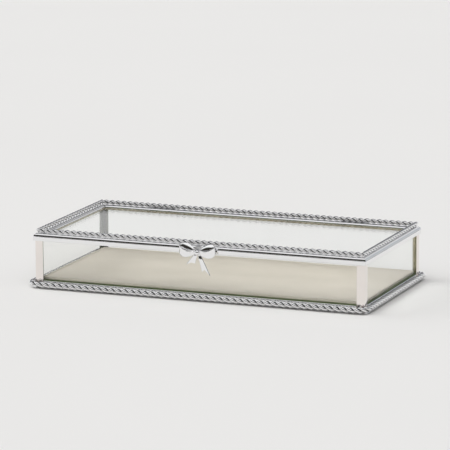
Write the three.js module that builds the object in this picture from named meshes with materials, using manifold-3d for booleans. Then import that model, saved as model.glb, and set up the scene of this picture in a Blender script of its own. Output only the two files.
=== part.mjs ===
// Vanity trinket box: a low glass display box in a chromed frame, with a hinged glass lid,
// rope trim round the lid and the base, and a ribbon bow on the lid's front edge as its pull.
// Millimetres. +X runs along the length, +Y to the hinged back, +Z up.
// The origin is the middle of the felt underside, on the table.

import * as THREE from "three";
import { mergeVertices } from "three/addons/utils/BufferGeometryUtils.js";
import Module from "manifold-3d";

const wasm = await Module();
wasm.setup();

// ---- Driving dimensions -------------------------------------------------------------------

const LID_LENGTH = 250.8;
const LID_WIDTH = 120;
const LID_TOP = 39.5;            // height of the lid frame's top face
const LID_SHEET = 1.15;          // thickness of the lid frame
const LID_FRAME_WIDTH = 7.5;     // how far the lid frame reaches in from the lid's edge
const LID_LIP_HEIGHT = 2.2;      // outer edge of the lid frame, turned down over the rail
const LID_LIP_THICKNESS = 1;
const LID_GLASS_THICKNESS = 2.5;

const BASE_LENGTH = 253.6;
const BASE_WIDTH = 126;
const BASE_SHEET = 0.7;
const BASE_CORNER_RADIUS = 5.4;
const FELT_THICKNESS = 0.5;
const FELT_INSET = 6;            // felt edge inside the base plate's edge

const FLOOR_GLASS_THICKNESS = 3.5;
const FLOOR_BED = 0.7;           // adhesive bed under the floor glass
const LINER_THICKNESS = 1.15;
const LINER_INSET = 0.4;         // gap between the liner and the side glass

const WALL_SHEET = 0.8;          // thickness of the posts and rails
const POST_LEG = 6;              // leg length of the corner angles
const POST_INSET = 0.9;          // post faces behind the rail's outer face
const SIDE_GLASS_THICKNESS = 2.5;
const RAIL_HEIGHT = 3.1;
const SILL_HEIGHT = 3.7;         // strips between the posts, over the floor glass's edge
const RAIL_TO_LID = 0.2;         // shut line between the rail and the lid frame

const LID_ROPE_DIAMETER = 3.3;
const LID_ROPE_INSET = 2.9;      // rope centre inside the lid's edge
const BASE_ROPE_DIAMETER = 4.2;
const BASE_ROPE_OVERHANG = 0.6;  // rope centre outside the base plate's edge

const HINGE_SPREAD = 150;        // between the middles of the two hinges
const KNUCKLE_DIAMETER = 3.4;
const KNUCKLE_LENGTHS = [6, 8, 6];
const KNUCKLE_GAP = 0.2;
const PIN_DIAMETER = 1.5;
const PIN_CLEARANCE = 0.08;      // between the pin and the knuckle's bore
const LEAF_THICKNESS = 0.8;
const LID_LEAF_REACH = 2.8;      // how far the lid leaf lies forward of the hinge line
const CASE_LEAF_BOTTOM = 34.4;

const BOW_X = 1.7;               // knot centre: a little right of the middle
const BOW_Z = 35.3;
const BOW_TAB_SIZE = [4.4, 0.8, 5.2];
const BOW_TAB_Z = 34;            // foot of the tab that holds the bow to the lid's front edge
const RIBBON_THICKNESS = 1;
const LOOP_DEPTH = 4.2;          // width of the ribbon that makes the loops
const LOOP_LENGTH = 11.4;        // from the side of the knot to the loop's far end
const LOOP_RISE = 10;            // from the bottom of a loop to its top
const LOOP_LIFT = 1.2;           // middle of the loops above the middle of the knot
const KNOT_SIZE = [3.6, 4.4, 4.4];
const TAIL_THICKNESS = 1.1;

const GAP = 0.1;                 // glue or solder line between pieces that touch
const MITRE_GAP = 0.1;           // half the joint between two mitred strips
const ROUND_SIDES = 24;

// ---- Heights and faces that follow from them ----------------------------------------------

const basePlateZ = FELT_THICKNESS + GAP;
const baseTop = basePlateZ + BASE_SHEET;
const floorGlassZ = baseTop + FLOOR_BED;
const floorGlassTop = floorGlassZ + FLOOR_GLASS_THICKNESS;
const linerZ = floorGlassTop + GAP;
const paneZ = floorGlassTop + GAP;
const lidPlateZ = LID_TOP - LID_SHEET;
const lidLipZ = LID_TOP - LID_LIP_HEIGHT;
const railTop = lidLipZ - RAIL_TO_LID;
const paneTop = railTop - WALL_SHEET - GAP;
const glassInset = POST_INSET + WALL_SHEET + GAP;
const paneInnerInset = glassInset + SIDE_GLASS_THICKNESS;
const railWidth = paneInnerInset + GAP + WALL_SHEET;
const lidGlassInset = railWidth + 0.4;
const knuckleRadius = KNUCKLE_DIAMETER / 2;
const hingeY = LID_WIDTH / 2 + GAP + knuckleRadius;
const hingeZ = LID_TOP + GAP + LEAF_THICKNESS - knuckleRadius;
const lidFrontY = -LID_WIDTH / 2;

// ---- Materials ----------------------------------------------------------------------------

const chrome = new THREE.MeshStandardMaterial({ color: 0xd9dadb, roughness: 0.08, metalness: 1 });
const satinChrome = new THREE.MeshStandardMaterial({ color: 0xcfd0d1, roughness: 0.2, metalness: 1 });
const clearGlass = new THREE.MeshStandardMaterial({
  color: 0xe3ece5, roughness: 0.02, metalness: 0, transparent: true, opacity: 0.3,
});
const linerFabric = new THREE.MeshStandardMaterial({ color: 0xc9c3b3, roughness: 0.95, metalness: 0 });
const feltFabric = new THREE.MeshStandardMaterial({ color: 0xb5ad9d, roughness: 1, metalness: 0 });

const box = new THREE.Group();

function addPiece(name, geometry, material) {
  const piece = new THREE.Mesh(geometry, material);
  piece.name = name;
  box.add(piece);
  return piece;
}

// ---- Shape helpers ------------------------------------------------------------------------

// A flat slab with its underside at z, and its corners rounded where a radius is given.
function slab(length, width, thickness, z, radius = 0) {
  const outline = new THREE.Shape();
  const halfLength = length / 2;
  const halfWidth = width / 2;
  const corners = [[1, -1], [1, 1], [-1, 1], [-1, -1]];
  corners.forEach(([sideX, sideY], turn) => {
    const x = sideX * (halfLength - radius);
    const y = sideY * (halfWidth - radius);
    if (radius > 0) {
      const start = (turn - 1) * Math.PI / 2;
      outline.absarc(x, y, radius, start, start + Math.PI / 2, false);
    } else if (turn === 0) {
      outline.moveTo(x, y);
    } else {
      outline.lineTo(x, y);
    }
  });
  outline.closePath();
  const geometry = new THREE.ExtrudeGeometry(outline, {
    depth: thickness, bevelEnabled: false, curveSegments: 6,
  });
  geometry.translate(0, 0, z);
  return geometry;
}

function shapeOf(points) {
  return new THREE.Shape(points.map(([x, y]) => new THREE.Vector2(x, y)));
}

// A straight strip along X whose section is drawn as [inset from the outer edge, height], with
// both ends cut at 45 degrees so that four of them close into a frame. It is the front strip:
// its outer edge faces -Y, half the frame's width away from the origin.
function mitredStrip(section, frameLength, frameWidth) {
  const depth = frameLength;
  const geometry = new THREE.ExtrudeGeometry(shapeOf(section), {
    depth, bevelEnabled: false, curveSegments: 6,
  });
  const position = geometry.getAttribute("position");
  for (let i = 0; i < position.count; i += 1) {
    const inset = position.getX(i);
    const height = position.getY(i);
    const side = position.getZ(i) > depth / 2 ? 1 : -1;
    const x = side * (frameLength / 2 - inset - MITRE_GAP);
    position.setXYZ(i, x, -frameWidth / 2 + inset, height);
  }
  geometry.computeVertexNormals();
  return geometry;
}

// The four sides of a frame: which way each strip is turned, and which size runs along it.
const SIDES = [
  { name: "front", turn: 0, alongLength: true },
  { name: "right", turn: Math.PI / 2, alongLength: false },
  { name: "back", turn: Math.PI, alongLength: true },
  { name: "left", turn: -Math.PI / 2, alongLength: false },
];

function addFrame(prefix, section, length, width, material) {
  for (const side of SIDES) {
    const strip = side.alongLength
      ? mitredStrip(section, length, width)
      : mitredStrip(section, width, length);
    addPiece(`${prefix}_${side.name}`, strip, material).rotation.z = side.turn;
  }
}

function roundSection(inset, z, radius, sides) {
  const points = [];
  for (let i = 0; i < sides; i += 1) {
    const angle = (i + 0.5) * 2 * Math.PI / sides;
    points.push([inset + radius * Math.cos(angle), z + radius * Math.sin(angle)]);
  }
  return points;
}

// A bar along X, centred on x, whose section is a shape drawn in Y and Z.
function barAlongX(shape, length, x) {
  const geometry = new THREE.ExtrudeGeometry(shape, {
    depth: length, bevelEnabled: false, curveSegments: ROUND_SIDES / 2,
  });
  geometry.rotateX(Math.PI / 2);
  geometry.rotateZ(Math.PI / 2);
  geometry.translate(x - length / 2, 0, 0);
  return geometry;
}

function toSolid(geometry) {
  const bare = geometry.clone();
  bare.deleteAttribute("normal");
  bare.deleteAttribute("uv");
  const merged = mergeVertices(bare, 1e-5);
  return new wasm.Manifold(new wasm.Mesh({
    numProp: 3,
    vertProperties: new Float32Array(merged.getAttribute("position").array),
    triVerts: new Uint32Array(merged.getIndex().array),
  }));
}

function fromSolid(solid) {
  const mesh = solid.getMesh();
  const geometry = new THREE.BufferGeometry();
  geometry.setAttribute("position", new THREE.BufferAttribute(mesh.vertProperties, 3));
  geometry.setIndex(new THREE.BufferAttribute(mesh.triVerts, 1));
  geometry.computeVertexNormals();
  return geometry;
}

function join(geometries) {
  const solids = geometries.map(toSolid);
  return fromSolid(solids.reduce((whole, next) => whole.add(next)));
}

// ---- Base ---------------------------------------------------------------------------------

function addBase() {
  const feltLength = BASE_LENGTH - 2 * FELT_INSET;
  const feltWidth = BASE_WIDTH - 2 * FELT_INSET;
  addPiece("base_felt", slab(feltLength, feltWidth, FELT_THICKNESS, 0), feltFabric);
  const plate = slab(BASE_LENGTH, BASE_WIDTH, BASE_SHEET, basePlateZ, BASE_CORNER_RADIUS);
  addPiece("base_plate", plate, satinChrome);
}

function addFloor() {
  const length = LID_LENGTH - 2 * glassInset;
  const width = LID_WIDTH - 2 * glassInset;
  addPiece("floor_glass", slab(length, width, FLOOR_GLASS_THICKNESS, floorGlassZ), clearGlass);
  const linerLength = LID_LENGTH - 2 * (paneInnerInset + LINER_INSET);
  const linerWidth = LID_WIDTH - 2 * (paneInnerInset + LINER_INSET);
  addPiece("floor_liner", slab(linerLength, linerWidth, LINER_THICKNESS, linerZ), linerFabric);
}

// ---- Walls --------------------------------------------------------------------------------

function addSideGlass() {
  const height = paneTop - paneZ;
  const longPane = slab(LID_LENGTH - 2 * glassInset, SIDE_GLASS_THICKNESS, height, paneZ);
  const shortSpan = LID_WIDTH - 2 * (paneInnerInset + GAP);
  const shortPane = slab(SIDE_GLASS_THICKNESS, shortSpan, height, paneZ);
  const offsetX = LID_LENGTH / 2 - glassInset - SIDE_GLASS_THICKNESS / 2;
  const offsetY = LID_WIDTH / 2 - glassInset - SIDE_GLASS_THICKNESS / 2;
  addPiece("glass_front", longPane, clearGlass).position.y = -offsetY;
  addPiece("glass_back", longPane, clearGlass).position.y = offsetY;
  addPiece("glass_left", shortPane, clearGlass).position.x = -offsetX;
  addPiece("glass_right", shortPane, clearGlass).position.x = offsetX;
}

// An angle section standing on the base plate, its corner outermost.
function cornerPost(sideX, sideY) {
  const cornerX = LID_LENGTH / 2 - POST_INSET;
  const cornerY = LID_WIDTH / 2 - POST_INSET;
  const outline = [
    [0, 0], [POST_LEG, 0], [POST_LEG, WALL_SHEET],
    [WALL_SHEET, WALL_SHEET], [WALL_SHEET, POST_LEG], [0, POST_LEG],
  ].map(([x, y]) => [sideX * (cornerX - x), sideY * (cornerY - y)]);
  const bottom = baseTop + GAP;
  const geometry = new THREE.ExtrudeGeometry(shapeOf(outline), {
    depth: paneTop - bottom, bevelEnabled: false,
  });
  geometry.translate(0, 0, bottom);
  return geometry;
}

function addPosts() {
  for (const [sideY, depthName] of [[-1, "front"], [1, "back"]]) {
    for (const [sideX, sideName] of [[-1, "left"], [1, "right"]]) {
      addPiece(`post_${depthName}_${sideName}`, cornerPost(sideX, sideY), chrome);
    }
  }
}

// Strips between the posts that stand on the base plate and hold the foot of the glass.
function addSills() {
  const clear = 2 * (POST_INSET + POST_LEG + GAP);
  const z = baseTop + GAP;
  const longSill = slab(LID_LENGTH - clear, WALL_SHEET, SILL_HEIGHT, z);
  const shortSill = slab(WALL_SHEET, LID_WIDTH - clear, SILL_HEIGHT, z);
  const offsetX = LID_LENGTH / 2 - POST_INSET - WALL_SHEET / 2;
  const offsetY = LID_WIDTH / 2 - POST_INSET - WALL_SHEET / 2;
  addPiece("sill_front", longSill, chrome).position.y = -offsetY;
  addPiece("sill_back", longSill, chrome).position.y = offsetY;
  addPiece("sill_left", shortSill, chrome).position.x = -offsetX;
  addPiece("sill_right", shortSill, chrome).position.x = offsetX;
}

// A channel that caps the glass: a face outside the posts, a web over the glass, a leg inside.
function railSection() {
  const bottom = railTop - RAIL_HEIGHT;
  const web = railTop - WALL_SHEET;
  return [
    [0, bottom], [WALL_SHEET, bottom], [WALL_SHEET, web],
    [railWidth - WALL_SHEET, web], [railWidth - WALL_SHEET, bottom],
    [railWidth, bottom], [railWidth, railTop], [0, railTop],
  ];
}

// ---- Lid ----------------------------------------------------------------------------------

// A flat face round the window, with its outer edge turned down as a lip.
function lidFrameSection() {
  const ease = 0.35;
  return [
    [ease, lidLipZ], [LID_LIP_THICKNESS, lidLipZ], [LID_LIP_THICKNESS, lidPlateZ],
    [LID_FRAME_WIDTH - ease, lidPlateZ], [LID_FRAME_WIDTH, lidPlateZ + ease],
    [LID_FRAME_WIDTH, LID_TOP - ease], [LID_FRAME_WIDTH - ease, LID_TOP],
    [ease, LID_TOP], [0, LID_TOP - ease], [0, lidLipZ + ease],
  ];
}

function addLidGlass() {
  const length = LID_LENGTH - 2 * lidGlassInset;
  const width = LID_WIDTH - 2 * lidGlassInset;
  const z = lidPlateZ - GAP - LID_GLASS_THICKNESS;
  addPiece("lid_glass", slab(length, width, LID_GLASS_THICKNESS, z), clearGlass);
}

// ---- Rope trim ----------------------------------------------------------------------------

const ROPE_SECTION_SIDES = 10;

function addLidRope() {
  const radius = LID_ROPE_DIAMETER / 2;
  const section = roundSection(LID_ROPE_INSET, LID_TOP + GAP + radius, radius, ROPE_SECTION_SIDES);
  addFrame("lid_rope", section, LID_LENGTH, LID_WIDTH, chrome);
}

// The front bar of a ring of four round bars. Each end is bent through half of a corner, and
// meets its neighbour in the corner's middle. Length, width and cornerRadius are the ring's
// own, along the middle of the bars.
function bentBar(length, width, cornerRadius, z, barRadius) {
  const cornerSteps = 4;
  const trim = MITRE_GAP / cornerRadius;
  const stations = [];
  for (const side of [-1, 1]) {
    for (let i = 0; i <= cornerSteps; i += 1) {
      const bend = side < 0 ? 1 - i / cornerSteps : i / cornerSteps;
      const angle = side * bend * (Math.PI / 4 - trim);
      stations.push({ x: side * (length / 2 - cornerRadius), angle });
    }
  }
  const positions = [];
  for (const { x, angle } of stations) {
    for (let k = 0; k < ROPE_SECTION_SIDES; k += 1) {
      const around = (k + 0.5) * 2 * Math.PI / ROPE_SECTION_SIDES;
      const out = cornerRadius + barRadius * Math.cos(around);
      const y = cornerRadius - width / 2 - out * Math.cos(angle);
      positions.push(x + out * Math.sin(angle), y, z + barRadius * Math.sin(around));
    }
  }
  const indices = [];
  for (let i = 0; i + 1 < stations.length; i += 1) {
    for (let k = 0; k < ROPE_SECTION_SIDES; k += 1) {
      const next = (k + 1) % ROPE_SECTION_SIDES;
      const [a, b] = [i * ROPE_SECTION_SIDES + k, i * ROPE_SECTION_SIDES + next];
      const [c, d] = [a + ROPE_SECTION_SIDES, b + ROPE_SECTION_SIDES];
      indices.push(a, c, b, b, c, d);
    }
  }
  const last = (stations.length - 1) * ROPE_SECTION_SIDES;
  for (let k = 1; k + 1 < ROPE_SECTION_SIDES; k += 1) {
    indices.push(0, k, k + 1, last, last + k + 1, last + k);
  }
  const geometry = new THREE.BufferGeometry();
  geometry.setAttribute("position", new THREE.Float32BufferAttribute(positions, 3));
  geometry.setIndex(indices);
  geometry.computeVertexNormals();
  return geometry;
}

function addBaseRope() {
  const radius = BASE_ROPE_DIAMETER / 2;
  const length = BASE_LENGTH + 2 * BASE_ROPE_OVERHANG;
  const width = BASE_WIDTH + 2 * BASE_ROPE_OVERHANG;
  const corner = BASE_CORNER_RADIUS + BASE_ROPE_OVERHANG;
  const z = baseTop + GAP + radius;
  for (const { name, turn, alongLength } of SIDES) {
    const bar = alongLength
      ? bentBar(length, width, corner, z, radius)
      : bentBar(width, length, corner, z, radius);
    addPiece(`base_rope_${name}`, bar, chrome).rotation.z = turn;
  }
}

// ---- Hinges -------------------------------------------------------------------------------

// A rolled knuckle with its leaf. The case leaf hangs down from the knuckle's inner side, and
// the lid leaf lies forward from the knuckle's top.
function knuckleShape(leaf) {
  const boreRadius = PIN_DIAMETER / 2 + PIN_CLEARANCE;
  const innerY = hingeY - knuckleRadius;
  const meet = Math.acos((knuckleRadius - LEAF_THICKNESS) / knuckleRadius);
  const shape = new THREE.Shape();
  if (leaf === "case") {
    shape.moveTo(innerY, CASE_LEAF_BOTTOM);
    shape.lineTo(innerY + LEAF_THICKNESS, CASE_LEAF_BOTTOM);
    shape.absarc(hingeY, hingeZ, knuckleRadius, Math.PI + meet, 3 * Math.PI, false);
  } else {
    const top = hingeZ + knuckleRadius;
    shape.moveTo(hingeY - LID_LEAF_REACH, top);
    shape.lineTo(hingeY - LID_LEAF_REACH, top - LEAF_THICKNESS);
    shape.absarc(hingeY, hingeZ, knuckleRadius, Math.PI / 2 + meet, 2.5 * Math.PI, false);
  }
  shape.closePath();
  const bore = new THREE.Path();
  bore.absarc(hingeY, hingeZ, boreRadius, 0, 2 * Math.PI, true);
  shape.holes.push(bore);
  return shape;
}

function rectangle(lowY, lowZ, highY, highZ) {
  return shapeOf([[lowY, lowZ], [highY, lowZ], [highY, highZ], [lowY, highZ]]);
}

function addHinge(name, x) {
  const [endLength, middleLength] = KNUCKLE_LENGTHS;
  const hingeLength = 2 * endLength + middleLength + 2 * KNUCKLE_GAP;
  const endX = (hingeLength - endLength) / 2;
  const innerY = hingeY - knuckleRadius;
  const caseLeafTop = hingeZ - knuckleRadius - KNUCKLE_GAP;
  const caseStrip = rectangle(innerY, CASE_LEAF_BOTTOM, innerY + LEAF_THICKNESS, caseLeafTop);
  addPiece(`hinge_case_leaf_${name}`, join([
    barAlongX(knuckleShape("case"), endLength, x - endX),
    barAlongX(knuckleShape("case"), endLength, x + endX),
    barAlongX(caseStrip, hingeLength, x),
  ]), satinChrome);

  const lidStripTop = hingeZ + knuckleRadius;
  const lidStripBack = innerY - KNUCKLE_GAP;
  const lidStrip = rectangle(
    hingeY - LID_LEAF_REACH, lidStripTop - LEAF_THICKNESS, lidStripBack, lidStripTop,
  );
  addPiece(`hinge_lid_leaf_${name}`, join([
    barAlongX(knuckleShape("lid"), middleLength, x),
    barAlongX(lidStrip, hingeLength, x),
  ]), satinChrome);

  addPiece(`hinge_pin_${name}`, hingePin(hingeLength), chrome).position.set(x, hingeY, hingeZ);
}

// A pin with a shallow domed head outside the knuckles at each end.
function hingePin(hingeLength) {
  const radius = PIN_DIAMETER / 2;
  const headRadius = 1.15;
  const headLength = 0.6;
  const shank = hingeLength / 2 + KNUCKLE_GAP;
  const profile = [
    [0, -shank - headLength], [headRadius * 0.7, -shank - headLength * 0.7],
    [headRadius, -shank], [radius, -shank],
    [radius, shank], [headRadius, shank],
    [headRadius * 0.7, shank + headLength * 0.7], [0, shank + headLength],
  ].map(([r, y]) => new THREE.Vector2(r, y));
  const geometry = new THREE.LatheGeometry(profile, ROUND_SIDES);
  geometry.rotateZ(-Math.PI / 2);
  return geometry;
}

// ---- Bow ----------------------------------------------------------------------------------

const ribbonBackY = lidFrontY - 2 * GAP - BOW_TAB_SIZE[1];

// A piece drawn in X and Z about the knot's centre, and thick along Y from the ribbons' back.
function bowPlate(shape, depth) {
  const geometry = new THREE.ExtrudeGeometry(shape, {
    depth, bevelEnabled: false, curveSegments: 10,
  });
  geometry.rotateX(Math.PI / 2);
  geometry.translate(BOW_X, ribbonBackY, BOW_Z);
  return geometry;
}

// A loop's outline: a teardrop from the knot to the far end and back, shrunk by inset.
function loopOutline(side, inset) {
  const nearX = KNOT_SIZE[0] / 2 + 0.5;
  const steps = 22;
  const taper = 0.45;            // how quickly the loop opens away from the knot
  const fullest = 0.81;          // the largest value that sine and taper reach together
  const points = [];
  for (let i = 0; i < steps; i += 1) {
    const angle = i * 2 * Math.PI / steps;
    const along = (1 + Math.cos(angle)) / 2;
    const open = Math.sin(angle) * Math.pow(along, taper) / fullest;
    const x = nearX + inset + along * (LOOP_LENGTH - 2 * inset);
    points.push([side * x, open * (LOOP_RISE / 2 - inset) + LOOP_LIFT]);
  }
  return side > 0 ? points : points.reverse();
}

function bowLoop(side) {
  const shape = shapeOf(loopOutline(side, 0));
  const hollow = loopOutline(side, RIBBON_THICKNESS).map(([x, z]) => new THREE.Vector2(x, z));
  shape.holes.push(new THREE.Path(hollow));
  return bowPlate(shape, LOOP_DEPTH);
}

function bowKnot() {
  const geometry = new THREE.SphereGeometry(0.5, 14, 10);
  geometry.scale(...KNOT_SIZE);
  geometry.translate(BOW_X, ribbonBackY - KNOT_SIZE[1] / 2, BOW_Z);
  return geometry;
}

function bowTab() {
  const [length, depth, height] = BOW_TAB_SIZE;
  const geometry = slab(length, depth, height, BOW_TAB_Z);
  geometry.translate(BOW_X, lidFrontY - GAP - depth / 2, 0);
  return geometry;
}

// A tail that widens from under the knot to a notched end.
function bowTail(outline) {
  return bowPlate(shapeOf(outline), TAIL_THICKNESS);
}

function addBow() {
  const leftTail = [
    [-2.6, -2], [-0.4, -2.4], [-2.1, -8.2], [-5, -7.6], [-9, -9.6],
  ];
  const rightTail = [
    [0.4, -2.4], [2.6, -2], [9.3, -16.5], [5.7, -12.6], [3.2, -13.8],
  ];
  addPiece("bow_loop_left", bowLoop(-1), chrome);
  addPiece("bow_loop_right", bowLoop(1), chrome);
  addPiece("bow_tail_left", bowTail(leftTail), chrome);
  addPiece("bow_tail_right", bowTail(rightTail), chrome);
  addPiece("bow_knot", bowKnot(), chrome);
  addPiece("bow_tab", bowTab(), satinChrome);
}

// ---- Assembly -----------------------------------------------------------------------------

addBase();
addFloor();
addSideGlass();
addPosts();
addSills();
addFrame("rail", railSection(), LID_LENGTH, LID_WIDTH, chrome);
addFrame("lid_frame", lidFrameSection(), LID_LENGTH, LID_WIDTH, chrome);
addLidGlass();
addLidRope();
addBaseRope();
addHinge("left", -HINGE_SPREAD / 2);
addHinge("right", HINGE_SPREAD / 2);
addBow();

export default box;
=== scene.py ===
"""Vanity trinket box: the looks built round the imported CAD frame, in metres, +Z up.

Every piece stands for one CAD node, rides on its body and takes its size from its box.
"""

import math

import bmesh
import bpy
from mathutils import Matrix, Vector


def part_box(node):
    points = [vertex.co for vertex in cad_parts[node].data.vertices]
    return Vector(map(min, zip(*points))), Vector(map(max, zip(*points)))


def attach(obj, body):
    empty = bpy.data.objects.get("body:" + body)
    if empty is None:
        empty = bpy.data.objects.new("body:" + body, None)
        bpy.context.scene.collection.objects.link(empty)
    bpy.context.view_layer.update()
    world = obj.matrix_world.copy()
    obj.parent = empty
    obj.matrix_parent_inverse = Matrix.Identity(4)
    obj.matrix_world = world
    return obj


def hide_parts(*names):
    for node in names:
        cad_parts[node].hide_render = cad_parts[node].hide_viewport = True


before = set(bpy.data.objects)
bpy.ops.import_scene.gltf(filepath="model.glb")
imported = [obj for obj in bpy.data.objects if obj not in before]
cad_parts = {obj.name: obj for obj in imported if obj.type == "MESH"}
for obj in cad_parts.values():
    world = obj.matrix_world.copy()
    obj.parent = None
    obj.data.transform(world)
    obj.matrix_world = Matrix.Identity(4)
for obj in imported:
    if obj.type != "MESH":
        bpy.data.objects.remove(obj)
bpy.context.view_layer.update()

MM = 0.001
SIDES = {
    "front": {"turn": 0.0, "along_length": True},
    "right": {"turn": math.pi / 2, "along_length": False},
    "back": {"turn": math.pi, "along_length": True},
    "left": {"turn": -math.pi / 2, "along_length": False},
}

# ---- Sizes of the detail that the CAD leaves plain ------------------------------------------

ROPE_STRANDS = 2
STRAND_SHARE = 0.52              # strand radius as a share of the rope's radius
LID_ROPE_LAY = 9.52 * MM         # length of one full turn of a strand
BASE_ROPE_LAY = 10.24 * MM
BASE_ROPE_BEND = 6 * MM          # radius of the base rope's middle at a corner
ROPE_STEPS_PER_TURN = 20
ROPE_SIDES = 14

LIP_LEAN = math.radians(20)      # how far the outer lips lean back from upright
LIP_FOOT = 0.12 * MM             # small chamfer under a lip
LID_SHOULDER = 2.05 * MM         # radius from the lid's lip over to its flat top
LID_BEVEL = 0.92 * MM            # slope on the lid frame's inner edge
LID_LIP_SHEET = 1.0 * MM
BASE_SHOULDER = 0.35 * MM
BASE_CORNER = 5.4 * MM

FELT_CORNER = 2 * MM
FELT_SOFTNESS = 0.25 * MM
LINER_CORNER = 2.5 * MM
LINER_SOFTNESS = 0.5 * MM
LINER_FOLD = 0.85 * MM           # how far the liner's turned edge stands above its middle

SHEET = 0.8 * MM                 # posts, rails and hinge leaves
SMALL_ROUND = 0.15 * MM
SILL_BEAD = 0.5 * MM
SILL_HOLLOW = 0.1 * MM           # how far a sill's face lies behind its bead
SILL_CORNER = 0.12 * MM
MITRE_GAP = 0.03 * MM
STRIP_PIECES = 24                # lengths that a mitred strip is cut into, for smooth shading
GLUE_LINE = 0.1 * MM             # between the lid's glass and its frame
GLASS_CHAMFER = 0.25 * MM

KNUCKLE_LENGTH = 6 * MM          # the two outer knuckles of a hinge
KNUCKLE_GAP = 0.2 * MM
PIN_RADIUS = 0.75 * MM
PIN_HEAD = 0.6 * MM              # length of the dome at each end of a pin
HINGE_EDGE = 0.08 * MM

RIBBON_SHEET = 0.7 * MM
RIBBON_EDGE_STEPS = 4
KNOT_PLEATS = 3
KNOT_PLEAT_DEPTH = 0.05          # as a share of the knot's radius
LOOP_START = 0.9 * MM            # beside the middle of the knot
LOOP_END_ROOM = 0.5 * MM         # left for the ribbon's thickness at the far end
LOOP_FRONT_PINCH = (-1.2 * MM, 0.9 * MM)     # lower and upper edge of the ribbon at the knot
LOOP_BACK_PINCH = (0.2 * MM, 1.3 * MM)
LOOP_DROOP = 1.2 * MM            # how far the top edge falls at the far end
LOOP_PLEATS = 3
LOOP_PLEAT_DEPTH = 0.1 * MM
TAIL_ROOT = 0.8 * MM             # half the width of a tail under the knot
TAIL_CREASE = 0.35 * MM
TAIL_FACE_STEPS = 12
TAB_CORNER = 0.7 * MM
TAB_ROUND = 0.12 * MM

PLATE_WAVE = 0.02 * MM           # depths of the surface grain of plate, glass edge and pile
EDGE_GRAIN = 0.03 * MM
PILE_DEPTH = 0.12 * MM

# ---- Camera and room ------------------------------------------------------------------------

CAMERA_AZIMUTH = math.radians(21.578)
CAMERA_ELEVATION = math.radians(11.392)
CAMERA_ROLL = math.radians(-0.258)
CAMERA_DISTANCE = 2.57098
CAMERA_AIM_HEIGHT = 2.95 * MM
CAMERA_SLIDE = (-2.22 * MM, 39.06 * MM)      # to the right and up, without turning
CAMERA_LENS = 286.68
FLOOR_REACH = 12.0
ROOM_STRENGTH = 0.93

# What the plating mirrors. Each zone has the direction of its middle, the cosines over which it
# fades in, the elevations in degrees over which it rises and then falls, and its colour.
ROOM_ZONES = {
    "low backdrop": ((-0.2, 0.98, 0.0), (-0.05, 0.15), (1, 6, 17, 30), (0.90, 0.90, 0.905)),
    "camera side": ((0.3, -0.95, 0.0), (0.1, 0.5), (-4, 0, 32, 44), (0.035, 0.032, 0.028)),
    "above backdrop": ((-0.2, 0.98, 0.0), (-0.05, 0.15), (17, 30, 76, 86), (0.10, 0.105, 0.12)),
    "right back": ((0.42, 0.91, 0.0), (0.90, 0.975), (1, 5, 15, 24), (0.50, 0.525, 0.56)),
}

# ---- Small geometry tools -------------------------------------------------------------------


def mix(a, b, share):
    return a + (b - a) * share


def rounded_outline(corners, steps=5):
    """A closed outline through corners [(x, y, radius), ...], each rounded with an arc."""
    points = []
    count = len(corners)
    for i, (x, y, radius) in enumerate(corners):
        here = Vector((x, y))
        before = Vector(corners[i - 1][:2]) - here
        after = Vector(corners[(i + 1) % count][:2]) - here
        if radius <= 0:
            points.append(here)
            continue
        before.normalize()
        after.normalize()
        half = before.angle(after) / 2
        reach = radius / math.tan(half)
        centre = here + (before + after).normalized() * (radius / math.sin(half))
        start = here + before * reach - centre
        sweep = start.angle_signed(here + after * reach - centre)
        for k in range(steps + 1):
            points.append(centre + Matrix.Rotation(-sweep * k / steps, 2) @ start)
    return points


def make_piece(name, bm, material, body, node, smooth_angle=35):
    """Turns a bmesh into a piece that rides on a body and stands for a CAD node."""
    bmesh.ops.recalc_face_normals(bm, faces=bm.faces)
    mesh = bpy.data.meshes.new(name)
    bm.to_mesh(mesh)
    bm.free()
    mesh.shade_smooth()
    mesh.set_sharp_from_angle(angle=math.radians(smooth_angle))
    piece = bpy.data.objects.new(name, mesh)
    bpy.context.scene.collection.objects.link(piece)
    materials = material if isinstance(material, list) else [material]
    for each in materials:
        mesh.materials.append(each)
    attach(piece, body)
    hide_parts(node)
    return piece


def add_ring(bm, points):
    return [bm.verts.new(p) for p in points]


def bridge(bm, ring_a, ring_b):
    count = len(ring_a)
    for i in range(count):
        j = (i + 1) % count
        bm.faces.new((ring_a[i], ring_a[j], ring_b[j], ring_b[i]))


def skin(bm, rings, closed_ends=True):
    """Joins rings of equal length into a tube, with flat ends where it is closed."""
    made = [add_ring(bm, ring) for ring in rings]
    for ring_a, ring_b in zip(made, made[1:]):
        bridge(bm, ring_a, ring_b)
    if closed_ends:
        bm.faces.new(list(reversed(made[0])))
        bm.faces.new(made[-1])
    return made


def strip(section, side, half_length, half_width):
    """A mitred strip of a frame, from a section of (inset, height) points."""
    info = SIDES[side]
    along, across = half_length, half_width
    if not info["along_length"]:
        along, across = half_width, half_length
    turn = Matrix.Rotation(info["turn"], 4, "Z")
    rings = []
    for k in range(STRIP_PIECES + 1):
        share = 2 * k / STRIP_PIECES - 1
        ring = []
        for inset, height in section:
            x = share * (along - inset - MITRE_GAP)
            ring.append(turn @ Vector((x, -across + inset, height)))
        rings.append(ring)
    bm = bmesh.new()
    skin(bm, rings)
    return bm


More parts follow.
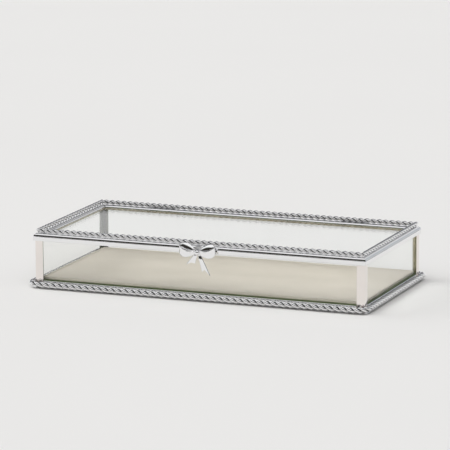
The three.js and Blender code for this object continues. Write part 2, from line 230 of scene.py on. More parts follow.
def rounded_rectangle(half_x, half_y, radius, z):
    """Points round a rectangle with rounded corners, at one height."""
    steps = 8
    points = []
    for quarter, (side_x, side_y) in enumerate(((1, 1), (-1, 1), (-1, -1), (1, -1))):
        centre_x = side_x * (half_x - radius)
        centre_y = side_y * (half_y - radius)
        for k in range(steps + 1):
            angle = (quarter + k / steps) * math.pi / 2
            x = centre_x + radius * math.cos(angle)
            y = centre_y + radius * math.sin(angle)
            points.append(Vector((x, y, z)))
    return points


def slab(low, high, profile, radius):
    """A flat slab between two corners whose edge follows profile: (inset, height) from below."""
    centre = (low + high) / 2
    half = (high - low) / 2
    rings = []
    for inset, height in profile:
        corner = max(radius - inset, 0.02 * MM)
        ring = rounded_rectangle(half.x - inset, half.y - inset, corner, height)
        rings.append([p + Vector((centre.x, centre.y, 0)) for p in ring])
    bm = bmesh.new()
    skin(bm, rings)
    return bm


def block(low, high):
    """A plain box between two corners, to be bevelled."""
    bm = bmesh.new()
    bmesh.ops.create_cube(bm, size=1.0)
    for vert in bm.verts:
        vert.co = (low + high) / 2 + Vector(a * b for a, b in zip(vert.co, high - low))
    return bm


def frame_size(prefix):
    """Half length, half width, lowest and highest point of a frame of four strips."""
    front_low, front_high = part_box(prefix + "_front")
    right_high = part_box(prefix + "_right")[1]
    return right_high.x, -front_low.y, front_low.z, front_high.z


def strip_width(node):
    low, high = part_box(node)
    return high.y - low.y


# ---- Materials ------------------------------------------------------------------------------


def new_material(name):
    material = bpy.data.materials.new(name)
    material.use_nodes = True
    tree = material.node_tree
    shader = tree.nodes["Principled BSDF"]
    return material, tree, shader


def add_node(tree, kind, **values):
    node = tree.nodes.new(kind)
    for key, value in values.items():
        if key in node.inputs:
            node.inputs[key].default_value = value
        else:
            setattr(node, key, value)
    return node


def noise_node(tree, scale, detail, stretch=(1.0, 1.0, 1.0)):
    """Noise in object space, so that it doesn't depend on UVs."""
    place = add_node(tree, "ShaderNodeTexCoord")
    mapping = add_node(tree, "ShaderNodeMapping")
    mapping.inputs["Scale"].default_value = stretch
    noise = add_node(tree, "ShaderNodeTexNoise", Scale=scale, Detail=detail)
    tree.links.new(place.outputs["Object"], mapping.inputs["Vector"])
    tree.links.new(mapping.outputs["Vector"], noise.inputs["Vector"])
    return noise


def ramp(tree, source, low, high, low_at=0.3, high_at=0.7):
    """A colour ramp between two colours, driven by source."""
    node = add_node(tree, "ShaderNodeValToRGB")
    first, last = node.color_ramp.elements
    first.position, first.color = low_at, (*low, 1)
    last.position, last.color = high_at, (*high, 1)
    tree.links.new(source, node.inputs["Fac"])
    return node


def span(tree, source, low, high):
    """Maps a 0 to 1 value onto low to high."""
    node = add_node(tree, "ShaderNodeMapRange")
    node.inputs["To Min"].default_value = low
    node.inputs["To Max"].default_value = high
    tree.links.new(source, node.inputs["Value"])
    return node


def bump(tree, source, shader, distance):
    node = add_node(tree, "ShaderNodeBump", Strength=1.0, Distance=distance)
    tree.links.new(source, node.inputs["Height"])
    tree.links.new(node.outputs["Normal"], shader.inputs["Normal"])


def plated_metal(name, colour, worn, roughness, painted_valley_shade=False):
    """Chrome plate: a faint cloudiness, fine polishing haze and slight waves in the sheet.

    With the valley flag, painted shade darkens it where the mesh marks it deep between strands.
    """
    material, tree, shader = new_material(name)
    shader.inputs["Metallic"].default_value = 1.0
    cloud = noise_node(tree, 45.0, 4.0)
    tint = ramp(tree, cloud.outputs["Fac"], worn, colour)
    if painted_valley_shade:
        # Painted shade: the deeper a point lies between the strands, the darker its colour.
        depth = add_node(tree, "ShaderNodeAttribute", attribute_name="valley")
        shade = ramp(tree, depth.outputs["Fac"], (1, 1, 1), (0.22, 0.22, 0.21), 0.2, 0.58)
        shaded = add_node(tree, "ShaderNodeMix", data_type="RGBA", blend_type="MULTIPLY")
        shaded.inputs["Factor"].default_value = 1.0
        tree.links.new(tint.outputs["Color"], shaded.inputs["A"])
        tree.links.new(shade.outputs["Color"], shaded.inputs["B"])
        tree.links.new(shaded.outputs["Result"], shader.inputs["Base Color"])
    else:
        tree.links.new(tint.outputs["Color"], shader.inputs["Base Color"])
    haze = noise_node(tree, 900.0, 2.0)
    rough = span(tree, haze.outputs["Fac"], roughness * 0.7, roughness * 1.3)
    tree.links.new(rough.outputs["Result"], shader.inputs["Roughness"])
    waves = noise_node(tree, 60.0, 2.0)
    bump(tree, waves.outputs["Fac"], shader, PLATE_WAVE)
    return material


def clear_glass(name, tint):
    """Clear glass that lets lamps through to what is inside, and mirrors less than real glass."""
    material, tree, shader = new_material(name)
    shader.inputs["Transmission Weight"].default_value = 1.0
    shader.inputs["IOR"].default_value = 1.2
    shader.inputs["Specular IOR Level"].default_value = 0.3
    cloud = noise_node(tree, 30.0, 3.0)
    low = tuple(c * 0.985 for c in tint)
    colour = ramp(tree, cloud.outputs["Fac"], low, tint)
    tree.links.new(colour.outputs["Color"], shader.inputs["Base Color"])
    smear = noise_node(tree, 14.0, 5.0)
    rough = span(tree, smear.outputs["Fac"], 0.0, 0.012)
    tree.links.new(rough.outputs["Result"], shader.inputs["Roughness"])
    output = tree.nodes["Material Output"]
    path = add_node(tree, "ShaderNodeLightPath")
    clear = add_node(tree, "ShaderNodeBsdfTransparent")
    clear.inputs["Color"].default_value = (*tint, 1)
    choice = add_node(tree, "ShaderNodeMixShader")
    tree.links.new(path.outputs["Is Shadow Ray"], choice.inputs["Fac"])
    tree.links.new(shader.outputs["BSDF"], choice.inputs[1])
    tree.links.new(clear.outputs["BSDF"], choice.inputs[2])
    tree.links.new(choice.outputs["Shader"], output.inputs["Surface"])
    return material


def glass_edge(name, dark, light):
    """A ground glass edge: deep green, a little uneven along its length."""
    material, tree, shader = new_material(name)
    grain = noise_node(tree, 220.0, 4.0)
    colour = ramp(tree, grain.outputs["Fac"], dark, light)
    tree.links.new(colour.outputs["Color"], shader.inputs["Base Color"])
    rough = span(tree, grain.outputs["Fac"], 0.2, 0.45)
    tree.links.new(rough.outputs["Result"], shader.inputs["Roughness"])
    fine = noise_node(tree, 1500.0, 2.0)
    bump(tree, fine.outputs["Fac"], shader, EDGE_GRAIN)
    return material


def pile_fabric(name, low, high, sheen):
    """Velour or felt: soft mottling, a fine fibre grain and a sheen at grazing angles."""
    material, tree, shader = new_material(name)
    nap = noise_node(tree, 16.0, 4.0, (1.0, 2.2, 1.0))
    colour = ramp(tree, nap.outputs["Fac"], low, high, 0.3, 0.72)
    tree.links.new(colour.outputs["Color"], shader.inputs["Base Color"])
    shader.inputs["Roughness"].default_value = 0.95
    shader.inputs["Sheen Weight"].default_value = sheen
    shader.inputs["Sheen Roughness"].default_value = 0.4
    shader.inputs["Specular IOR Level"].default_value = 0.1
    fibre = noise_node(tree, 1600.0, 5.0)
    bump(tree, fibre.outputs["Fac"], shader, PILE_DEPTH)
    return material


CHROME = plated_metal("frame_chrome", (0.93, 0.93, 0.94), (0.89, 0.89, 0.9), 0.06)
# The rope's colour carries painted shade between its strands.
ROPE_CHROME = plated_metal(
    "rope_chrome", (0.92, 0.92, 0.93), (0.86, 0.86, 0.87), 0.09, painted_valley_shade=True
)
# The frame's plating tinted warm: a painted reflection of the warm floor in front.
POST_WARM_REFLECTION = plated_metal("post_warm_reflection", (0.915, 0.865, 0.83), (0.87, 0.82, 0.785), 0.07)
# Painted reflection and shade: darker olive copies of the same chrome for the inner faces of
# rails and right posts, near black on the left posts.
INNER_REFLECTION_AND_SHADE = plated_metal("inner_reflection_and_shade", (0.60, 0.555, 0.42), (0.48, 0.44, 0.33), 0.22)
INNER_SHADED = plated_metal("inner_shaded", (0.14, 0.15, 0.10), (0.09, 0.10, 0.065), 0.3)
BOW_CHROME = plated_metal("bow_chrome", (0.95, 0.95, 0.96), (0.92, 0.92, 0.93), 0.05)
HINGE_CHROME = plated_metal("hinge_chrome", (0.82, 0.82, 0.83), (0.74, 0.74, 0.75), 0.36)
PANE_GLASS = clear_glass("pane_glass", (0.990, 0.996, 0.989))
PANE_EDGE = glass_edge("pane_edge", (0.085, 0.12, 0.04), (0.16, 0.20, 0.08))
LINER = pile_fabric("liner_velour", (0.635, 0.585, 0.50), (0.70, 0.645, 0.56), 0.2)
# Felt under the base: partly its own dark colour, partly painted shade for the gap under the
# plate.
FELT = pile_fabric("felt_and_painted_shade", (0.30, 0.27, 0.23), (0.38, 0.35, 0.30), 0.2)

# ---- Base -----------------------------------------------------------------------------------


def lip_profile(low_z, high_z, shoulder):
    """The edge of a plate from below: a lip that leans back, then rolls over to the top."""
    foot = LIP_FOOT
    profile = [(foot * 1.6, low_z), (foot * 0.4, low_z + foot * 0.3), (0.0, low_z + foot)]
    centre_z = high_z - shoulder
    roll_z = centre_z + shoulder * math.sin(LIP_LEAN)
    roll_inset = (roll_z - low_z - foot) * math.tan(LIP_LEAN)
    centre_inset = roll_inset + shoulder * math.cos(LIP_LEAN)
    steps = 8
    for k in range(steps + 1):
        angle = LIP_LEAN + (math.pi / 2 - LIP_LEAN) * k / steps
        inset = centre_inset - shoulder * math.cos(angle)
        profile.append((inset, centre_z + shoulder * math.sin(angle)))
    return profile


def build_base_plate():
    low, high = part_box("base_plate")
    profile = lip_profile(low.z, high.z, BASE_SHOULDER)
    bm = slab(low, high, profile, BASE_CORNER)
    make_piece("base_plate_shell", bm, CHROME, "case", "base_plate")


def build_felt():
    low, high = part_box("base_felt")
    soft = FELT_SOFTNESS
    profile = [(soft, low.z), (0, low.z + soft), (0, high.z - soft), (soft, high.z)]
    bm = slab(low, high, profile, FELT_CORNER)
    # The pad's dark colour partly stands for painted shade under the base.
    felt = make_piece("base_felt_pad", bm, FELT, "case", "base_felt")


def build_liner():
    """The fabric on the floor glass, with its edge folded under so that it stands up a little."""
    low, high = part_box("floor_liner")
    soft = LINER_SOFTNESS
    fold = LINER_FOLD
    profile = [
        (0, low.z), (0, high.z + fold - soft), (soft * 0.3, high.z + fold - soft * 0.3),
        (soft, high.z + fold), (soft * 2, high.z + fold * 0.8), (soft * 3, high.z + fold * 0.2),
        (soft * 4, high.z),
    ]
    bm = slab(low, high, profile, LINER_CORNER)
    liner = make_piece("floor_liner_velour", bm, LINER, "case", "floor_liner")


# ---- Glass ----------------------------------------------------------------------------------


def glass_pane(node, body, thin_axis):
    """A pane with chamfered arrises and a green cut edge all round."""
    bm = block(*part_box(node))
    bmesh.ops.bevel(bm, geom=list(bm.edges), offset=GLASS_CHAMFER, segments=1, affect="EDGES")
    bm.normal_update()
    for face in bm.faces:
        face.material_index = 0 if abs(face.normal[thin_axis]) > 0.9 else 1
    make_piece(node + "_pane", bm, [PANE_GLASS, PANE_EDGE], body, node, 20)


def build_glass():
    glass_pane("glass_front", "case", 1)
    glass_pane("glass_back", "case", 1)
    glass_pane("glass_left", "case", 0)
    glass_pane("glass_right", "case", 0)
    glass_pane("floor_glass", "case", 2)
    glass_pane("lid_glass", "lid", 2)


# ---- Walls ----------------------------------------------------------------------------------


def build_posts():
    for depth_name, side_y in (("front", -1), ("back", 1)):
        for side_name, side_x in (("left", -1), ("right", 1)):
            node = f"post_{depth_name}_{side_name}"
            low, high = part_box(node)
            leg = high.x - low.x
            corners = [
                (0, 0, 0.45 * MM), (leg, 0, SMALL_ROUND), (leg, SHEET, SMALL_ROUND),
                (SHEET, SHEET, 0), (SHEET, leg, SMALL_ROUND), (0, leg, SMALL_ROUND),
            ]
            outer_x = high.x if side_x > 0 else low.x
            outer_y = high.y if side_y > 0 else low.y
            outline = rounded_outline(corners)
            rings = []
            for z in (low.z, high.z):
                ring = [
                    Vector((outer_x - side_x * p.x, outer_y - side_y * p.y, z)) for p in outline
                ]
                rings.append(ring)
            bm = bmesh.new()
            skin(bm, rings)
            bmesh.ops.recalc_face_normals(bm, faces=bm.faces)
            for face in bm.faces:
                inward = max(-face.normal.x * side_x, -face.normal.y * side_y)
                face.material_index = 1 if inward > 0.7 else 0
            # Outer faces get the warm painted reflection; inner faces get painted shade, olive on
            # the right posts and near black on the left.
            metals = [POST_WARM_REFLECTION, INNER_REFLECTION_AND_SHADE if side_x > 0 else INNER_SHADED]
            make_piece(node + "_angle", bm, metals, "case", node)


def build_sills():
    """Strips at the foot of the glass, each with a bead rolled along its top edge."""
    for side in SIDES:
        node = "sill_" + side
        low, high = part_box(node)
        hollow = SILL_HOLLOW
        bead = SILL_BEAD
        profile = [
            (SMALL_ROUND, low.z), (hollow, low.z + SMALL_ROUND), (hollow, high.z - 2 * bead),
            (hollow * 0.3, high.z - 1.6 * bead), (0, high.z - bead),
            (hollow * 0.5, high.z - bead * 0.5), (bead * 0.5, high.z),
        ]
        bm = slab(low, high, profile, SILL_CORNER)
        make_piece(node + "_strip", bm, CHROME, "case", node)


def build_rails():
    half_length, half_width, low_z, high_z = frame_size("rail")
    width = strip_width("rail_front")
    section = rounded_outline([
        (0, low_z, 0.35 * MM), (SHEET, low_z, 0.1 * MM), (SHEET, high_z - SHEET, 0),
        (width - SHEET, high_z - SHEET, 0), (width - SHEET, low_z, 0.1 * MM),
        (width, low_z, 0.1 * MM), (width, high_z, SMALL_ROUND), (0, high_z, SMALL_ROUND),
    ])
    for side, info in SIDES.items():
        node = "rail_" + side
        bm = strip(section, side, half_length, half_width)
        bmesh.ops.recalc_face_normals(bm, faces=bm.faces)
        inward = Matrix.Rotation(info["turn"], 3, "Z") @ Vector((0, 1, 0))
        for face in bm.faces:
            face.material_index = 1 if face.normal.dot(inward) > 0.9 else 0
        # The inward face gets painted reflection and shade.
        metals = [CHROME, INNER_REFLECTION_AND_SHADE]
        make_piece(node + "_channel", bm, metals, "case", node)


# ---- Lid frame ------------------------------------------------------------------------------


def build_lid_frame():
    half_length, half_width, low_z, high_z = frame_size("lid_frame")
    width = strip_width("lid_frame_front")
    plate_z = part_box("lid_glass")[1].z + GLUE_LINE
    lip = LID_LIP_SHEET
    bevel = LID_BEVEL
    ease = 0.1 * MM
    section = lip_profile(low_z, high_z, LID_SHOULDER)
    section += [
        (width - bevel - ease, high_z), (width - bevel + ease, high_z - ease),
        (width - ease, high_z - bevel + ease), (width, high_z - bevel - ease),
        (width, plate_z),
        (lip, plate_z), (lip, low_z + SMALL_ROUND), (lip - SMALL_ROUND, low_z),
    ]
    for side in SIDES:
        node = "lid_frame_" + side
        bm = strip(section, side, half_length, half_width)
        make_piece(node + "_strip", bm, CHROME, "lid", node)


# ---- Rope trim ------------------------------------------------------------------------------


def straight_path(length):
    """The middle of a straight front bar: place and outward direction at x along it."""
    def at(x):
        return Vector((x, 0, 0)), Vector((0, -1, 0))

    return at, length / 2


def bent_path(length, corner):
    """The same for a bar that bends round half a corner at each end."""
    straight = length / 2 - corner

    def at(x):
        past = max(abs(x) - straight, 0)
        side = math.copysign(1, x)
        angle = side * past / corner
        out = Vector((math.sin(angle), -math.cos(angle), 0))
        middle = Vector((side * min(abs(x), straight), corner, 0))
        return middle + out * corner, out

    return at, straight + corner * math.pi / 4


def rope_strand(bm, layer, at, half_length, radius, lay, phase):
    """One strand wound round a path, with how deep each point lies in the rope, for its painted
    shade.
    """
    strand_radius = radius * STRAND_SHARE
    orbit = radius - strand_radius
    steps = round(2 * half_length / lay * ROPE_STEPS_PER_TURN)

    def centre_line(x):
        middle, outward = at(x)
        angle = 2 * math.pi * x / lay + phase
        out = outward * math.sin(angle) + Vector((0, 0, math.cos(angle)))
        return middle, middle + out * orbit, out

    rings = []
    depths = []
    nudge = 0.05 * MM
    for k in range(steps + 1):
        x = (2 * k / steps - 1) * half_length
        middle, centre, out = centre_line(x)
        tangent = (centre_line(x + nudge)[1] - centre_line(x - nudge)[1]).normalized()
        side = tangent.cross(out)
        ring = []
        for j in range(ROPE_SIDES):
            around = 2 * math.pi * j / ROPE_SIDES
            offset = (out * math.cos(around) + side * math.sin(around)) * strand_radius
            ring.append(centre + offset)
            depths.append(1 - (centre + offset - middle).length / radius)
        rings.append(ring)
    made = skin(bm, rings)
    flat = [vert for ring in made for vert in ring]
    for vert, depth in zip(flat, depths):
        vert[layer] = depth


def cut_end(bm, point, normal):
    """Cuts the end off along a plane and closes it."""
    geometry = list(bm.verts) + list(bm.edges) + list(bm.faces)
    cut = bmesh.ops.bisect_plane(
        bm, geom=geometry, plane_co=point, plane_no=normal, clear_outer=True, dist=1e-7
    )
    edges = [e for e in cut["geom_cut"] if isinstance(e, bmesh.types.BMEdge)]
    bmesh.ops.holes_fill(bm, edges=edges, sides=0)


def build_rope(prefix, body, lay, corner=0.0):
    """Four lengths of rope that close into a frame, mitred or bent at its corners."""
    half_length, half_width, low_z, high_z = frame_size(prefix)
    radius = (high_z - low_z) / 2
    for side, info in SIDES.items():
        node = f"{prefix}_{side}"
        along, across = half_length, half_width
        if not info["along_length"]:
            along, across = half_width, half_length
        length = 2 * (along - radius)
        at, reach = bent_path(length, corner) if corner else straight_path(length)
        bm = bmesh.new()
        layer = bm.verts.layers.float.new("valley")
        for strand in range(ROPE_STRANDS):
            phase = 2 * math.pi * strand / ROPE_STRANDS
            rope_strand(bm, layer, at, reach + 2 * radius, radius, lay, phase)
        for direction in (-1, 1):
            point, outward = at(direction * reach)
            outward = outward if corner else Vector((direction, -1, 0)).normalized()
            normal = Vector((-outward.y, outward.x, 0)) * direction
            cut_end(bm, point, normal)
        place = Matrix.Rotation(info["turn"], 4, "Z") @ Matrix.Translation(
            (0, -across + radius, (low_z + high_z) / 2)
        )
        bm.transform(place)
        make_piece(node + "_twist", bm, ROPE_CHROME, body, node, 60)


# ---- Hinges ---------------------------------------------------------------------------------


def rolled_sheet(path, thickness):
    """The section of a sheet that follows path [(y, z), ...], as a closed outline."""
    left = []
    right = []
    for i, (y, z) in enumerate(path):
        before = Vector(path[max(i - 1, 0)])
        after = Vector(path[min(i + 1, len(path) - 1)])
        along = (after - before).normalized()
        normal = Vector((-along.y, along.x)) * thickness / 2
        left.append(Vector((y, z)) + normal)
        right.append(Vector((y, z)) - normal)
    return left + right[::-1]


def roll(centre_y, centre_z, radius, first, last):
    """Points along an arc, with its angles in degrees."""
    steps = 26
    points = []
    for k in range(steps + 1):
        angle = math.radians(first + (last - first) * k / steps)
        points.append((centre_y + radius * math.cos(angle), centre_z + radius * math.sin(angle)))
    return points


def extrude_along_x(bm, outline, x_low, x_high):
    """A bar along X from a closed (y, z) outline, with a narrow slanted edge at each end."""
    edge = HINGE_EDGE
    rings = []
    for x, shift in ((x_low, edge), (x_low + edge, 0), (x_high - edge, 0), (x_high, edge)):
        ring = []
        for i, point in enumerate(outline):
            along = outline[(i + 1) % len(outline)] - outline[i - 1]
            moved = point + Vector((-along.y, along.x)).normalized() * shift
            ring.append(Vector((x, moved.x, moved.y)))
        rings.append(ring)
    skin(bm, rings)


def hinge_pin(bm, low, high):
    """A straight pin with a domed head at each end."""
    centre = (low + high) / 2
    head = (high.z - low.z) / 2
    step = 0.02 * MM
    profile = []
    for k in range(7):
        angle = math.pi / 2 * k / 6
        profile.append((-PIN_HEAD * math.cos(angle), max(head * math.sin(angle), step)))
    profile.append((step, PIN_RADIUS))
    half = (high.x - low.x) / 2 - PIN_HEAD
    stations = [(-half + x, radius) for x, radius in profile]
    stations += [(half - x, radius) for x, radius in reversed(profile)]
    rings = []
    for x, radius in stations:
        ring = []
        for k in range(24):
            angle = 2 * math.pi * k / 24
            offset = Vector((x, radius * math.cos(angle), radius * math.sin(angle)))
            ring.append(centre + offset)
        rings.append(ring)
    skin(bm, rings)


def build_case_leaf(side, centre, radius):
    """The upright leaf on the case, with a knuckle rolled at each end of its top edge."""
    node = "hinge_case_leaf_" + side
    low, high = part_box(node)
    half = SHEET / 2
    leaf_y = centre.y - radius + half
    leaf_top = centre.z - radius - KNUCKLE_GAP
    path = [(leaf_y, leaf_top)] + roll(centre.y, centre.z, radius - half, 180, -165)
    knuckle = rolled_sheet(path, SHEET)
    leaf = rounded_outline([
        (leaf_y - half, low.z, SMALL_ROUND), (leaf_y + half, low.z, SMALL_ROUND),
        (leaf_y + half, leaf_top, 0), (leaf_y - half, leaf_top, 0),
    ], 3)
    bm = bmesh.new()
    extrude_along_x(bm, knuckle, low.x, low.x + KNUCKLE_LENGTH)
    extrude_along_x(bm, knuckle, high.x - KNUCKLE_LENGTH, high.x)
    extrude_along_x(bm, leaf, low.x, high.x)
    make_piece(node + "_rolled", bm, HINGE_CHROME, "case", node)


def build_lid_leaf(side, centre, radius):
    """The flat leaf on the lid, with one knuckle rolled between the case's two."""
    node = "hinge_lid_leaf_" + side
    low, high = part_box(node)
    case_low, case_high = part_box("hinge_case_leaf_" + side)
    half = SHEET / 2
    leaf_z = centre.z + radius - half
    leaf_back = centre.y - radius - KNUCKLE_GAP
    path = [(leaf_back, leaf_z)] + roll(centre.y, centre.z, radius - half, 90, -255)
    knuckle = rolled_sheet(path, SHEET)
    leaf = rounded_outline([
        (low.y, leaf_z - half, SMALL_ROUND), (leaf_back, leaf_z - half, 0),
        (leaf_back, leaf_z + half, 0), (low.y, leaf_z + half, SMALL_ROUND),
    ], 3)
    clear = KNUCKLE_LENGTH + KNUCKLE_GAP
    bm = bmesh.new()
    extrude_along_x(bm, knuckle, case_low.x + clear, case_high.x - clear)
    extrude_along_x(bm, leaf, low.x, high.x)
    make_piece(node + "_rolled", bm, HINGE_CHROME, "lid", node)


def build_hinge(side):
    node = "hinge_pin_" + side
    low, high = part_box(node)
    centre = (low + high) / 2
    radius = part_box("hinge_case_leaf_" + side)[1].y - centre.y
    build_case_leaf(side, centre, radius)
    build_lid_leaf(side, centre, radius)
    bm = bmesh.new()
    hinge_pin(bm, low, high)
    make_piece(node + "_turned", bm, HINGE_CHROME, "case", node, 40)


# ---- Bow ------------------------------------------------------------------------------------


def ribbon_ring(surface, u, face_steps=10):
    """One closed section of a ribbon: front face, rounded edge, back face, rounded edge."""
    half = RIBBON_SHEET / 2

    def lie(v):
        """The ribbon's middle at v, and its directions across and outward."""
        step = 0.01
        low_v, high_v = max(v - step, 0), min(v + step, 1)
        across = (surface(u, high_v) - surface(u, low_v)).normalized()
        along = (surface(u + step, v) - surface(u - step, v)).normalized()
        return surface(u, v), across, along.cross(across).normalized()

    ring = []
    there = range(face_steps + 1)
    for side, stations in ((1, there), (-1, reversed(there))):
        for k in stations:
            point, across, out = lie(k / face_steps)
            ring.append(point + out * half * side)
        for k in range(1, RIBBON_EDGE_STEPS):
            angle = math.pi * k / RIBBON_EDGE_STEPS
            round_edge = out * math.cos(angle) + across * math.sin(angle)
            ring.append(point + round_edge * half * side)
    return ring


def build_loop(side_name, side, flare, knot):
    """A ribbon loop: out along the front, round the far end and back higher up behind.

    Flare is how far the top edge of its back part leans away from the front.
    """
    node = "bow_loop_" + side_name
    low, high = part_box(node)
    centre_y = (low.y + high.y) / 2
    depth = (high.y - low.y) / 2 - RIBBON_SHEET / 2
    near = LOOP_START
    far = (high.x - knot.x if side > 0 else knot.x - low.x) - LOOP_END_ROOM
    top = high.z - knot.z
    bottom = low.z - knot.z
    full_at = 0.75       # share of the loop's length at which it reaches its full height
    widest = 0.82        # greatest value of swell before it is scaled to 1

    def surface(u, v):
        angle = 2 * math.pi * u
        share = (1 - math.cos(angle)) / 2                # 0 at the knot, 1 at the far end
        back = (1 - math.sin(angle)) / 2                 # 0 along the front, 1 along the back
        full = math.sin(math.pi / 2 * min(share / full_at, 1.0))
        round_off = (max(share - full_at, 0) / (1 - full_at)) ** 2
        front_top = mix(LOOP_FRONT_PINCH[1], top * 0.5, share ** 1.6)
        back_top = mix(LOOP_BACK_PINCH[1], top, full) - LOOP_DROOP * round_off
        front_bottom = mix(LOOP_FRONT_PINCH[0], bottom, full) - bottom * 0.35 * round_off
        back_bottom = mix(LOOP_BACK_PINCH[0], 0, share)
        z = mix(mix(front_bottom, back_bottom, back), mix(front_top, back_top, back), v)
        swell = math.sin(angle) * share ** 0.35 / widest
        lean = mix(mix(0.5, 1.0, v), 0.1 + flare * v ** 3, back)
        belly = mix(0.3, 0.0, back) * math.sin(math.pi * v)
        ripple = math.cos(2 * math.pi * LOOP_PLEATS * v)
        pleat = LOOP_PLEAT_DEPTH * (1 - share) ** 1.5 * ripple
        place_y = centre_y - depth * swell * (lean + belly) - pleat
        return Vector((knot.x + side * mix(near, far, share), place_y, knot.z + z))

    steps = 72
    bm = bmesh.new()
    rings = [add_ring(bm, ribbon_ring(surface, k / steps)) for k in range(steps)]
    for k in range(steps):
        bridge(bm, rings[k], rings[(k + 1) % steps])
    make_piece(node + "_ribbon", bm, BOW_CHROME, "lid", node, 60)


def build_tail(side_name, knot, start, end, end_width, skew, notch, bulge):
    """A tail that comes out from under the knot, widens, and has a slanted, notched end.

    Start and end are (x, z) in mm from the middle of the knot. Skew slants the end, notch is
    the depth of its cut as a share of the length, and bulge is how far it stands out.
    """
    node = "bow_tail_" + side_name
    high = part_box(node)[1]
    start, end = Vector(start) * MM, Vector(end) * MM
    along = (end - start).normalized()
    across = Vector((-along.y, along.x))
    length = (end - start).length
    crest = 0.3          # share of the length at which the tail stands out furthest

    def surface(u, v):
        u = min(max(u, 0), 1)
        side = 2 * v - 1
        width = mix(TAIL_ROOT, end_width / 2, u ** 1.1)
        reach = length * u * (1 - notch * (1 - abs(side)) * u * u) + skew * side * u ** 3
        place = start + along * reach + across * side * width
        out = bulge * (1 - (1 - min(u / crest, 1)) ** 2) - bulge * 0.7 * max(u - crest, 0)
        out += TAIL_CREASE * u * (1 - abs(side))
        return Vector((knot.x + place.x, high.y - RIBBON_SHEET / 2 - out, knot.z + place.y))

    steps = 20
    faces, edges = TAIL_FACE_STEPS, RIBBON_EDGE_STEPS
    bm = bmesh.new()
    rings = [ribbon_ring(surface, k / steps, faces) for k in range(steps + 1)]
    made = skin(bm, rings, closed_ends=False)
    for ring in (made[0], made[-1]):
        last = len(ring) - edges
        for k in range(faces):
            bm.faces.new((ring[k], ring[k + 1], ring[last - k - 1], ring[last - k]))
        bm.faces.new((ring[0], *ring[last:]))
        bm.faces.new(ring[faces:faces + edges])
    make_piece(node + "_ribbon", bm, BOW_CHROME, "lid", node, 50)


def build_knot():
    """A short pleated band drawn tight round the middle of the bow."""
    low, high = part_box("bow_knot")
    centre = (low + high) / 2
    half = (high - low) / 2
    rings = []
    stations, sides = 28, 36
    for k in range(stations + 1):
        angle = math.pi * k / stations
        barrel = max(math.sin(angle), 0.06) ** 0.55
        ripple = 0.5 + 0.5 * math.cos(2 * math.pi * KNOT_PLEATS * k / stations)
        share = barrel * (1 - KNOT_PLEAT_DEPTH * ripple)
        ring = []
        for j in range(sides):
            around = 2 * math.pi * j / sides
            offset = Vector((
                -half.x * math.cos(angle),
                half.y * share * math.cos(around),
                half.z * share * math.sin(around),
            ))
            ring.append(centre + offset)
        rings.append(ring)
    bm = bmesh.new()
    skin(bm, rings)
    make_piece("bow_knot_wrap", bm, BOW_CHROME, "lid", "bow_knot", 60)
    return centre


def build_bow_tab():
    """A small plate with round corners, its edges round the front and back eased."""
    bm = block(*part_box("bow_tab"))

    def depth(edge):
        return abs(edge.verts[0].co.y - edge.verts[1].co.y)

    corners = [edge for edge in bm.edges if depth(edge) > 0.1 * MM]
    bmesh.ops.bevel(
        bm, geom=corners, offset=TAB_CORNER, segments=5, affect="EDGES", profile=0.5
    )
    rims = [edge for edge in bm.edges if depth(edge) < 0.01 * MM]
    bmesh.ops.bevel(bm, geom=rims, offset=TAB_ROUND, segments=2, affect="EDGES", profile=0.5)
    make_piece("bow_tab_plate", bm, HINGE_CHROME, "lid", "bow_tab")


def build_bow():
    build_bow_tab()
    knot = build_knot()
    build_loop("left", -1, 0.95, knot)
    build_loop("right", 1, 1.25, knot)
    build_tail(
        "left", knot, start=(-1.0, -1.3), end=(-5.5, -8.9),
        end_width=5.1 * MM, skew=-2.2 * MM, notch=0.14, bulge=0.3 * MM,
    )
    build_tail(
        "right", knot, start=(1.0, -1.3), end=(6.3, -15.1),
        end_width=4.7 * MM, skew=2.2 * MM, notch=0.21, bulge=1.1 * MM,
    )


# ---- Camera, light and floor ----------------------------------------------------------------


def build_camera():
    back = Vector((
        math.sin(CAMERA_AZIMUTH) * math.cos(CAMERA_ELEVATION),
        -math.cos(CAMERA_AZIMUTH) * math.cos(CAMERA_ELEVATION),
        math.sin(CAMERA_ELEVATION),
    ))
    level = Vector((math.cos(CAMERA_AZIMUTH), math.sin(CAMERA_AZIMUTH), 0))
    upright = back.cross(level)
    right = level * math.cos(CAMERA_ROLL) + upright * math.sin(CAMERA_ROLL)
    up = upright * math.cos(CAMERA_ROLL) - level * math.sin(CAMERA_ROLL)
    slide = right * CAMERA_SLIDE[0] + up * CAMERA_SLIDE[1]
    place = back * CAMERA_DISTANCE + slide + Vector((0, 0, CAMERA_AIM_HEIGHT))
    camera_data = bpy.data.cameras.new("camera")
    camera_data.sensor_width = 36
    camera_data.lens = CAMERA_LENS
    camera_data.clip_start = 0.1
    camera_data.clip_end = 100
    camera = bpy.data.objects.new("camera", camera_data)
    turn = Matrix((right, up, back)).transposed().to_4x4()
    camera.matrix_world = Matrix.Translation(place) @ turn
    bpy.context.scene.collection.objects.link(camera)
    bpy.context.scene.camera = camera


def build_floor():
    """A sheet of white studio paper, matt and faintly uneven."""
    bm = bmesh.new()
    bmesh.ops.create_grid(bm, x_segments=1, y_segments=1, size=FLOOR_REACH)
    mesh = bpy.data.meshes.new("floor")
    bm.to_mesh(mesh)
    bm.free()
    floor = bpy.data.objects.new("floor", mesh)
    bpy.context.scene.collection.objects.link(floor)
    material, tree, shader = new_material("floor_paper")
    grain = noise_node(tree, 3.0, 2.0)
    colour = ramp(tree, grain.outputs["Fac"], (0.842, 0.833, 0.818), (0.85, 0.841, 0.826))
    tree.links.new(colour.outputs["Color"], shader.inputs["Base Color"])
    shader.inputs["Roughness"].default_value = 0.9
    shader.inputs["Specular IOR Level"].default_value = 0.0
    mesh.materials.append(material)


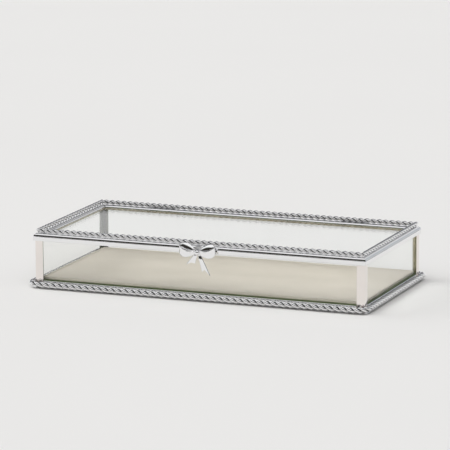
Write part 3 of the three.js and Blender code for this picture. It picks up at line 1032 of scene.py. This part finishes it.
def room_zone(tree, place, toward, spread, elevations):
    """How far a direction lies in a zone of the room: 1 inside it, 0 outside."""
    facing = add_node(tree, "ShaderNodeVectorMath", operation="DOT_PRODUCT")
    facing.inputs[1].default_value = Vector(toward).normalized()
    tree.links.new(place.outputs["Generated"], facing.inputs[0])
    split = add_node(tree, "ShaderNodeSeparateXYZ")
    tree.links.new(place.outputs["Generated"], split.inputs["Vector"])
    result = add_node(tree, "ShaderNodeMapRange", interpolation_type="SMOOTHSTEP")
    result.inputs["From Min"].default_value = spread[0]
    result.inputs["From Max"].default_value = spread[1]
    tree.links.new(facing.outputs["Value"], result.inputs["Value"])
    low_start, low_end, high_start, high_end = (math.sin(math.radians(a)) for a in elevations)
    for start, end, rising in ((low_start, low_end, True), (high_start, high_end, False)):
        step = add_node(tree, "ShaderNodeMapRange", interpolation_type="SMOOTHSTEP")
        step.inputs["From Min"].default_value = start
        step.inputs["From Max"].default_value = end
        step.inputs["To Min"].default_value = 0.0 if rising else 1.0
        step.inputs["To Max"].default_value = 1.0 if rising else 0.0
        tree.links.new(split.outputs["Z"], step.inputs["Value"])
        both = add_node(tree, "ShaderNodeMath", operation="MULTIPLY")
        tree.links.new(result.outputs[0], both.inputs[0])
        tree.links.new(step.outputs[0], both.inputs[1])
        result = both
    return result


def build_world():
    """A white studio with its darker zones laid over it one by one."""
    world = bpy.data.worlds.new("studio")
    bpy.context.scene.world = world
    world.use_nodes = True
    tree = world.node_tree
    background = tree.nodes["Background"]
    place = add_node(tree, "ShaderNodeTexCoord")
    colour = None
    for toward, spread, elevations, shade in ROOM_ZONES.values():
        zone = room_zone(tree, place, toward, spread, elevations)
        step = add_node(tree, "ShaderNodeMix", data_type="RGBA")
        step.inputs["A"].default_value = (1.0, 1.0, 1.0, 1)
        step.inputs["B"].default_value = (*shade, 1)
        tree.links.new(zone.outputs[0], step.inputs["Factor"])
        if colour:
            tree.links.new(colour.outputs["Result"], step.inputs["A"])
        colour = step
    tree.links.new(colour.outputs["Result"], background.inputs["Color"])
    background.inputs["Strength"].default_value = ROOM_STRENGTH


def build_soft_light(name, energy, spread, toward):
    """A broad lamp that lights the piece and its floor but isn't mirrored in the plating."""
    data = bpy.data.lights.new(name, "SUN")
    data.energy = energy
    data.angle = math.radians(spread)
    light = bpy.data.objects.new(name, data)
    light.visible_glossy = False
    light.rotation_euler = Vector(toward).to_track_quat("Z", "Y").to_euler()
    bpy.context.scene.collection.objects.link(light)


# ---- Everything -----------------------------------------------------------------------------

build_camera()
build_base_plate()
build_felt()
build_liner()
build_glass()
build_posts()
build_sills()
build_rails()
build_lid_frame()
build_rope("base_rope", "case", BASE_ROPE_LAY, BASE_ROPE_BEND)
build_rope("lid_rope", "lid", LID_ROPE_LAY)
build_hinge("left")
build_hinge("right")
build_bow()
build_floor()
build_world()
build_soft_light("key", 0.55, 28, (-0.8, -0.02, 0.72))
build_soft_light("fill", 1.52, 120, (-0.4, -0.5, 0.8))
bpy.context.scene.view_settings.view_transform = "Standard"
